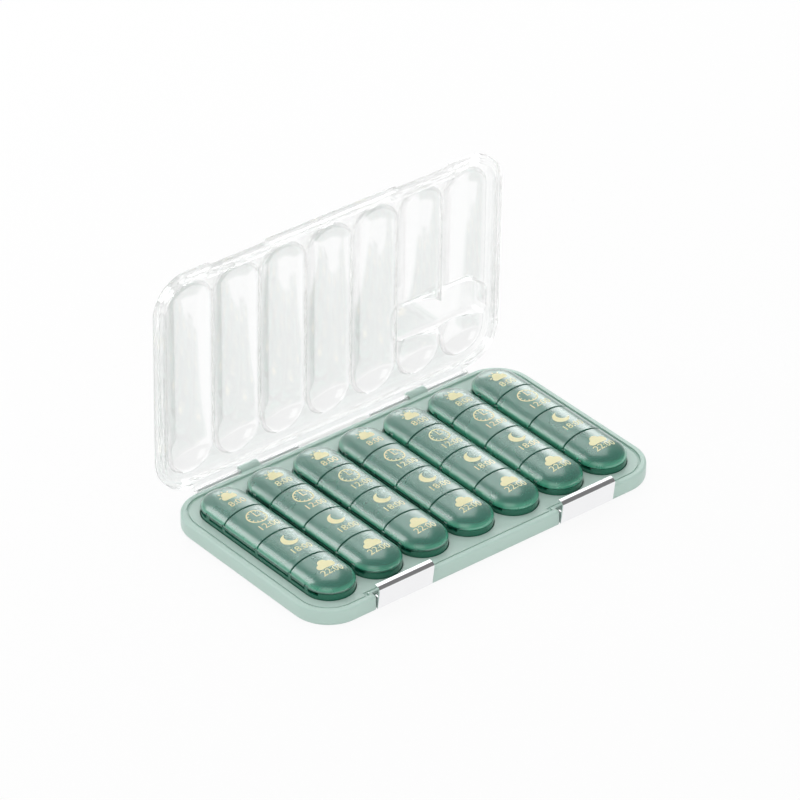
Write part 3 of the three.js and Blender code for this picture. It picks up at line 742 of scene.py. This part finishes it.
def lids():
    inner_width = BOX_HALF_WIDTH - LID_WALL
    inner = loft(
        stadium(inner_width, BOX_HALF_LENGTH - LID_WALL),
        [(0, LID_FOOT - OVERRUN)] + dome_levels(inner_width, LID_FOOT, LID_RISE - LID_WALL),
    )
    edges = (2 * BOX_HALF_LENGTH,) + BOUNDARIES + (-2 * BOX_HALF_LENGTH,)
    lug_half = LUG_WIDTH / 2 + SEAT_GAP
    made = []
    for cell in range(len(CELL_NAMES)):
        rear, front = edges[cell] - LID_SPLIT / 2, edges[cell + 1] + LID_SPLIT / 2
        shell = meet(lid_dome(), lid_bar(front, rear))
        room = meet(twin(inner), block(-FAR, FAR, front + LID_WALL, rear - LID_WALL, 0, FAR))
        cut(shell, [room])
        barrel_rear, barrel_front = LUG_CENTRES[cell] - lug_half, LUG_CENTRES[cell + 1] + lug_half
        middle = (barrel_rear + barrel_front) / 2
        tab = block(
            BOX_HALF_WIDTH - LID_WALL,
            BOX_HALF_WIDTH + TAB_REACH,
            middle - TAB_LENGTH / 2,
            middle + TAB_LENGTH / 2,
            LID_FOOT,
            LID_FOOT + TAB_HEIGHT,
        )
        join(shell, [tab])
        inside, lug_top = BARREL_X + LUG_REACH + SEAT_GAP, BOX_TOP + LUG_RADIUS + SEAT_GAP
        reliefs = [block(-FAR, inside, y - lug_half, y + lug_half, LEDGE, lug_top) for y in LUG_CENTRES]
        cut(shell, reliefs)
        barrel = rod_y(BARREL_RADIUS, barrel_front, barrel_rear, BARREL_X, BOX_TOP)
        stub = rod_y(STUB_RADIUS, barrel_front - STUB_LENGTH, barrel_rear + STUB_LENGTH, BARREL_X, BOX_TOP)
        join(shell, [barrel, stub])
        soften(shell, 0)
        outer = (0, BOX_HALF_WIDTH, BOX_HALF_LENGTH, LID_FOOT, LID_RISE, 1)
        under = (0, inner_width, BOX_HALF_LENGTH - LID_WALL, LID_FOOT, LID_RISE - LID_WALL, -1)
        made.append(dome_normals(shell, [outer, under]))
    bpy.data.objects.remove(inner)
    return made


# Cover, drawn shut
def badge(grow, foot, top, top_round):
    outline = rounded_rectangle(BADGE_HALF_LENGTH + grow, BADGE_HALF_DEPTH + grow, BADGE_CORNER + grow)
    solid = loft(outline, plate_levels(foot, top, 0, top_round))
    solid.data.transform(Matrix.Translation((*BADGE_CENTRE, 0)))
    return solid


def hinge_leaf():
    foot = COVER_FOOT - HINGE_Z
    root = HINGE_RADIUS + HINGE_GAP + KNUCKLE_ARM
    start = math.pi - math.asin(foot / HINGE_RADIUS)
    section = [(-root, foot)] + arc(0, 0, HINGE_RADIUS, start, 2 * math.pi, ROD_STEPS)
    round_y, round_z = HINGE_RADIUS - LEAF_ROUND, LEAF_RISE - LEAF_ROUND
    section += arc(round_y, round_z, LEAF_ROUND, 0, math.pi / 2, LEAF_STEPS) + [(-root, LEAF_RISE)]
    leaf = bar_x(section, -HINGE_HALF_SPAN, HINGE_HALF_SPAN)
    near, past = -HINGE_RADIUS - HINGE_GAP, 2 * HINGE_RADIUS
    gaps = []
    for x0, x1 in TRAY_KNUCKLES:
        gaps.append(block(x0 - KNUCKLE_GAP, x1 + KNUCKLE_GAP, near, past, -past, LEAF_RISE + OVERRUN))
    cut(leaf, gaps)
    leaf.data.transform(Matrix.Translation((0, HINGE_Y, HINGE_Z)))
    return leaf


def cover():
    top = SHOULDER + OVERRUN
    plate = loft(tray_outline(), plate_levels(COVER_FOOT, SHOULDER, 0, COVER_TOP_ROUND))
    room = loft(tray_outline(SKIRT_WALL), [(0, COVER_FOOT - OVERRUN), (0, WEB)])
    cut(room, latch_blocks(NOTCH_HALF_WIDTH + SKIRT_WALL, COVER_NOTCH_BACK + SKIRT_WALL, 0, top))

    def lip_ring(inset, grow, foot, crown):
        ring = loft(tray_outline(inset), [(0, foot), (0, crown)])
        edge = NOTCH_RIM + LIP_CLEARANCE + grow
        return cut(ring, latch_blocks(NOTCH_HALF_WIDTH + edge, NOTCH_BACK + edge, 0, top))

    lip_out = RIM_WIDTH + LIP_CLEARANCE
    lip_foot = DECK + SEAT_GAP
    lip = lip_ring(lip_out, 0, lip_foot, WEB + COVER_WALL / 2)
    cut(lip, [lip_ring(lip_out + LIP_WALL, LIP_WALL, lip_foot - OVERRUN, WEB + COVER_WALL)])
    outer_width, outer_length = DOME_HALF_WIDTH + DOME_SIDE_WALL, DOME_HALF_LENGTH + DOME_SIDE_WALL
    outer_rise = DOME_CROWN + COVER_WALL - WEB
    outer = loft(stadium(outer_width, outer_length), dome_levels(outer_width, WEB, outer_rise))
    inner_foot, inner_rise = WEB + DOME_FLARE, DOME_CROWN - WEB - DOME_FLARE
    flare = [(-DOME_FLARE, WEB - OVERRUN)] + foot_levels(DOME_FLARE, WEB, FOOT_STEPS, side=-1)[:-1]
    inner = loft(
        stadium(DOME_HALF_WIDTH, DOME_HALF_LENGTH),
        flare + dome_levels(DOME_HALF_WIDTH, inner_foot, inner_rise),
    )
    join(plate, row(outer) + [badge(COVER_WALL, WEB, BADGE_TOP + COVER_WALL, BADGE_ROUND + COVER_WALL)])
    cut(plate, [room] + row(inner) + [badge(0, WEB - OVERRUN, BADGE_TOP, BADGE_ROUND)])
    join(plate, [lip, hinge_leaf()])
    cutters = latch_blocks(NOTCH_HALF_WIDTH, COVER_NOTCH_BACK, 0, top)
    cut(plate, cutters + [hinge_bore()])
    soften(plate, COVER_EDGE, segments=3, angle=30)
    domes = []
    for _, x in DAYS:
        domes.append((x, outer_width, outer_length, WEB, outer_rise, 1))
        domes.append((x, DOME_HALF_WIDTH, DOME_HALF_LENGTH, inner_foot, inner_rise, -1))
    dome_normals(plate, domes)
    hinge = Matrix.Translation((0, HINGE_Y, HINGE_Z))
    plate.data.transform(hinge @ Matrix.Rotation(-COVER_OPENING, 4, "X") @ hinge.inverted())
    return plate


# Latch, drawn latched about its pivot, then leaned out
def latch():
    front, top = LATCH_FRONT, SHOULDER + SEAT_GAP + HOOK_DROP + LATCH_SHEET - PIVOT_Z
    tip = front + HOOK_REACH
    bend = (front + LATCH_BEND, top - LATCH_BEND)
    under, drop = top - LATCH_SHEET, top - LATCH_SHEET - HOOK_DROP
    section = [(front, LATCH_FOOT), (front + LATCH_SHEET, LATCH_FOOT)]
    section += arc(*bend, LATCH_BEND - LATCH_SHEET, math.pi, math.pi / 2, BEND_INNER_STEPS)
    section += [(tip - HOOK_NOSE, under), (tip - HOOK_NOSE / 2, drop), (tip, drop), (tip, top)]
    section += arc(*bend, LATCH_BEND, math.pi / 2, math.pi, BEND_STEPS)
    root = front + LATCH_SHEET / 2
    ear = [(root, -EAR_RADIUS)] + arc(0, 0, EAR_RADIUS, -math.pi / 2, 0, BEND_STEPS)
    ear += arc(0, EAR_RISE - EAR_RADIUS, EAR_RADIUS, 0, math.pi / 2, BEND_STEPS) + [(root, EAR_RISE)]
    half = LATCH_HALF_WIDTH
    plate = bar_x(section, -half, half)
    join(plate, [bar_x(ear, -half, LATCH_SHEET - half), bar_x(ear, half - LATCH_SHEET, half)])
    cut(plate, [rod_x(LATCH_BORE_RADIUS, -2 * half, 2 * half, 0, 0)])
    soften(plate, LATCH_EDGE)
    plate.data.transform(Matrix.Rotation(LATCH_REST, 4, "X"))
    return plate


# Prints on the lids: a sign and plain hours, cut from a film that lies over the domes
def disc(x, y, radius, foot=0, top=PRINT_DEPTH):
    points = arc(x, y, radius, 0, 2 * math.pi, DISC_STEPS)[:-1]
    return loft(lambda inset: points, [(0, foot), (0, top)])


def slab(x0, x1, y0, y1):
    return block(x0, x1, y0, y1, 0, PRINT_DEPTH)


def hole(x, y, radius):
    return disc(x, y, radius, -OVERRUN, PRINT_DEPTH + OVERRUN)


def cloud():
    return join(slab(*CLOUD_BASE), [disc(*puff) for puff in CLOUD_PUFFS])


def clock():
    ring = disc(0, 0, CLOCK_RADIUS)
    cut(ring, [hole(0, 0, CLOCK_INNER_RADIUS)])
    marks = [slab(*hand) for hand in CLOCK_HANDS]
    for hour in range(CLOCK_HOURS):
        mark = slab(*CLOCK_MARK)
        mark.data.transform(Matrix.Rotation(hour * HOUR_TURN, 4, "Z"))
        marks.append(mark)
    return join(ring, marks)


def crescent():
    return cut(disc(0, 0, CRESCENT_RADIUS), [hole(*CRESCENT_BITE)])


def sun():
    """A low sun behind a cloud."""
    rays = []
    for turn in range(SUN_RAYS):
        ray = slab(*SUN_RAY)
        ray.data.transform(Matrix.Rotation(turn * RAY_TURN, 4, "Z"))
        ray.data.transform(Matrix.Translation((*SUN_CENTRE, 0)))
        rays.append(ray)
    puffs = [disc(*SUN_CENTRE, SUN_RADIUS)] + [disc(*puff) for puff in SUN_PUFFS]
    return join(slab(*SUN_BASE), puffs + rays)


def hours(words):
    curve = bpy.data.curves.new("hours", "FONT")
    curve.body = words
    curve.size = HOURS_HEIGHT * HOURS_FONT_RATIO
    curve.align_x = "CENTER"
    curve.align_y = "CENTER"
    curve.extrude = PRINT_DEPTH / 2
    curve.resolution_u = FONT_STEPS
    words_object = bpy.data.objects.new("hours", curve)
    bpy.context.scene.collection.objects.link(words_object)
    graph = bpy.context.evaluated_depsgraph_get()
    mesh = bpy.data.meshes.new_from_object(words_object.evaluated_get(graph))
    bpy.data.objects.remove(words_object)
    solid = bpy.data.objects.new("hours", mesh)
    bpy.context.scene.collection.objects.link(solid)
    weld = solid.modifiers.new("weld", "WELD")
    weld.merge_threshold = HOURS_WELD
    settle(solid)
    solid.data.transform(Matrix.Translation((0, 0, PRINT_DEPTH / 2)))
    return solid


def ink_film():
    half_width, half_length = BOX_HALF_WIDTH + PRINT_LIFT, BOX_HALF_LENGTH + PRINT_LIFT
    film = loft(stadium(half_width, half_length), dome_levels(half_width, LID_FOOT, LID_RISE + PRINT_LIFT))
    return cut(film, [lid_dome()])


def prints():
    signs = (sun, clock, crescent, cloud)
    made = []
    for sign, word, sign_at, hours_at in zip(signs, HOURS, SIGN_PLACES, HOURS_PLACES):
        both = []
        for solid, at in ((sign(), sign_at), (hours(word), hours_at)):
            solid.data.transform(Matrix.Translation((*at, 0)))
            both.append(meet(ink_film(), solid))
        join(both[0], both[1:])
        made.append(soften(both[0], 0))
    return made


# The pieces, each on its body
def put_pieces():
    place(tray(), "tray_shell", "base", ["base_tray"], MINT)
    place(cover(), "cover_shell", "cover", ["cover"], CLEAR)
    plate = latch()
    half = NOTCH_HALF_WIDTH + LATCH_PIN_GRIP
    for index, side in enumerate(("left", "right")):
        x = LATCH_CENTRES[index]
        body, pivot = f"latch_{side}", (x, PIVOT_Y, PIVOT_Z)
        place(plate, f"latch_plate_{side}", body, [body], CHROME, pivot)
        axle = soften(rod_x(LATCH_PIN_RADIUS, -half, half, 0, 0), PIN_EDGE)
        place(axle, f"latch_axle_{side}", "base", [f"latch_pin_{side}"], STEEL, pivot)
        sign = 1 if index else -1
        near, far = sorted((sign * HINGE_HALF_SPAN, sign * (HINGE_HALF_SPAN - HINGE_PIN_LENGTH)))
        pin = soften(rod_x(HINGE_PIN_RADIUS, near, far, HINGE_Y, HINGE_Z), PIN_EDGE)
        place(pin, f"hinge_axle_{side}", "base", [f"hinge_pin_{side}"], STEEL)
    box, covers, inks = day_box(), lids(), prints()
    for day, x in DAYS:
        place(box, f"day{day}_cells", f"day{day}", [f"day_box_{day}"], BOX_GREEN, (x, 0, 0))
        for name, lid, ink in zip(CELL_NAMES, covers, inks):
            body, node = f"day{day}_{name}", f"day{day}_lid_{name}"
            place(lid, f"{body}_dome", body, [node], LID_GREEN, (x, 0, 0))
            place(ink, f"{body}_print", body, [], INK, (x, 0, 0))


def clear_solids():
    """What was only used to build the pieces goes."""
    for left in [o for o in bpy.data.objects if o.name.split(".")[0] in ("solid", "hours")]:
        bpy.data.objects.remove(left)


# Camera, from the fit to the photograph
AZIMUTH = math.radians(-40.077)
ELEVATION = math.radians(33.063)
ROLL = math.radians(0.951)
SENSOR = 36
FOCAL_PIXELS = 5173.8
PICTURE_PIXELS = 800
CLIP_END = 50
DISTANCE = 2.6937
LOOK_AT = Vector((0.033816, 0.053538, 0.02))

# Each light's name, place, target, size and power, in metres and watts
LIGHTS = (
    ("key", (0.5, 0.7, 1.6), (0, 0, 0), (1.2, 1.2), 5.5),
    ("fill", (-1.1, -0.9, 1.0), (0, 0, 0), (1.2, 1.2), 3),
    ("strip", (-0.8, 0.96, 0.78), (0, 0, 0), (0.5, 0.9), 4),
    ("back", (1.095, 1.453, 0.66), (0, 0, 0.02), (1.2, 0.75), 8.5),
)

# The room's strength: where it turns from its front value to its back value, and the two values
ROOM_LIGHT = ((-0.7, 0.7), 0.85, 0.42)
ROOM_REFLECTED = ((-0.15, 0.6), 0.2, 0.4)

# The floor glows white to the camera, in mirrors and through clear parts. The camera sees the lit
# paper by a small share, so that shadows show.
FLOOR_HALF = 6.0
PAPER = (0.9, 0.9, 0.9, 1)
WHITE = (1, 1, 1, 1)
SHADOW_SHARE = 0.1


def add_camera():
    away = Vector((
        math.sin(AZIMUTH) * math.cos(ELEVATION),
        -math.cos(AZIMUTH) * math.cos(ELEVATION),
        math.sin(ELEVATION),
    ))
    data = bpy.data.cameras.new("camera")
    data.lens = FOCAL_PIXELS * SENSOR / PICTURE_PIXELS
    data.sensor_width = SENSOR
    data.clip_end = CLIP_END
    camera = bpy.data.objects.new("camera", data)
    bpy.context.scene.collection.objects.link(camera)
    camera.location = LOOK_AT + DISTANCE * away
    facing = (-away).to_track_quat("-Z", "Y").to_matrix().to_4x4()
    camera.matrix_world = Matrix.Translation(camera.location) @ facing @ Matrix.Rotation(ROLL, 4, "Z")
    bpy.context.scene.camera = camera


def add_light(name, place_at, target, size, power):
    data = bpy.data.lights.new(name, "AREA")
    data.shape = "RECTANGLE"
    data.size, data.size_y = size
    data.energy = power
    lamp = bpy.data.objects.new(name, data)
    bpy.context.scene.collection.objects.link(lamp)
    lamp.location = place_at
    lamp.rotation_euler = (Vector(target) - Vector(place_at)).to_track_quat("-Z", "Y").to_euler()


def ray_of(tree, names):
    """One for the named kinds of ray."""
    path = tree.nodes.new("ShaderNodeLightPath")
    total = path.outputs[names[0]]
    for name in names[1:]:
        more = tree.nodes.new("ShaderNodeMath")
        more.operation = "MAXIMUM"
        tree.links.new(total, more.inputs[0])
        tree.links.new(path.outputs[name], more.inputs[1])
        total = more.outputs[0]
    return total


def front_to_back(tree, turn, front, back):
    """A strength that goes from one value at the front of the room to another at the back."""
    place_in = tree.nodes.new("ShaderNodeTexCoord")
    split = tree.nodes.new("ShaderNodeSeparateXYZ")
    tree.links.new(place_in.outputs["Generated"], split.inputs[0])
    return stretch(tree, split.outputs["Y"], turn, (front, back))


def add_world():
    world = bpy.data.worlds.new("studio")
    world.use_nodes = True
    bpy.context.scene.world = world
    tree = world.node_tree
    light = tree.nodes["Background"]
    light.inputs["Color"].default_value = WHITE
    tree.links.new(front_to_back(tree, *ROOM_LIGHT), light.inputs["Strength"])
    last = light.outputs[0]
    for names in (("Is Glossy Ray",), ("Is Camera Ray", "Is Transmission Ray")):
        seen = tree.nodes.new("ShaderNodeBackground")
        seen.inputs["Color"].default_value = WHITE
        if "Is Glossy Ray" in names:
            tree.links.new(front_to_back(tree, *ROOM_REFLECTED), seen.inputs["Strength"])
        mix = tree.nodes.new("ShaderNodeMixShader")
        tree.links.new(ray_of(tree, names), mix.inputs["Fac"])
        tree.links.new(last, mix.inputs[1])
        tree.links.new(seen.outputs[0], mix.inputs[2])
        last = mix.outputs[0]
    tree.links.new(last, tree.nodes["World Output"].inputs["Surface"])


def add_floor():
    mesh = bpy.data.meshes.new("floor")
    half = FLOOR_HALF
    corners = [(-half, -half, 0), (half, -half, 0), (half, half, 0), (-half, half, 0)]
    mesh.from_pydata(corners, [], [(0, 1, 2, 3)])
    floor = bpy.data.objects.new("floor", mesh)
    bpy.context.scene.collection.objects.link(floor)
    made, shader = material("floor_paper", Roughness=0.9, Base_Color=PAPER)
    tree = made.node_tree
    glow = tree.nodes.new("ShaderNodeEmission")
    glow.inputs["Strength"].default_value = 1.0
    mix = tree.nodes.new("ShaderNodeMixShader")
    share = tree.nodes.new("ShaderNodeMath")
    share.operation = "MULTIPLY_ADD"
    share.inputs[1].default_value = -SHADOW_SHARE
    tree.links.new(ray_of(tree, ("Is Camera Ray",)), share.inputs[0])
    rays = ("Is Camera Ray", "Is Glossy Ray", "Is Transmission Ray")
    tree.links.new(ray_of(tree, rays), share.inputs[2])
    tree.links.new(share.outputs[0], mix.inputs["Fac"])
    tree.links.new(shader.outputs[0], mix.inputs[1])
    tree.links.new(glow.outputs[0], mix.inputs[2])
    tree.links.new(mix.outputs[0], tree.nodes["Material Output"].inputs["Surface"])
    mesh.materials.append(made)


put_pieces()
clear_solids()
add_camera()
add_world()
add_floor()
for light in LIGHTS:
    add_light(*light)
bpy.context.scene.view_settings.view_transform = "Standard"
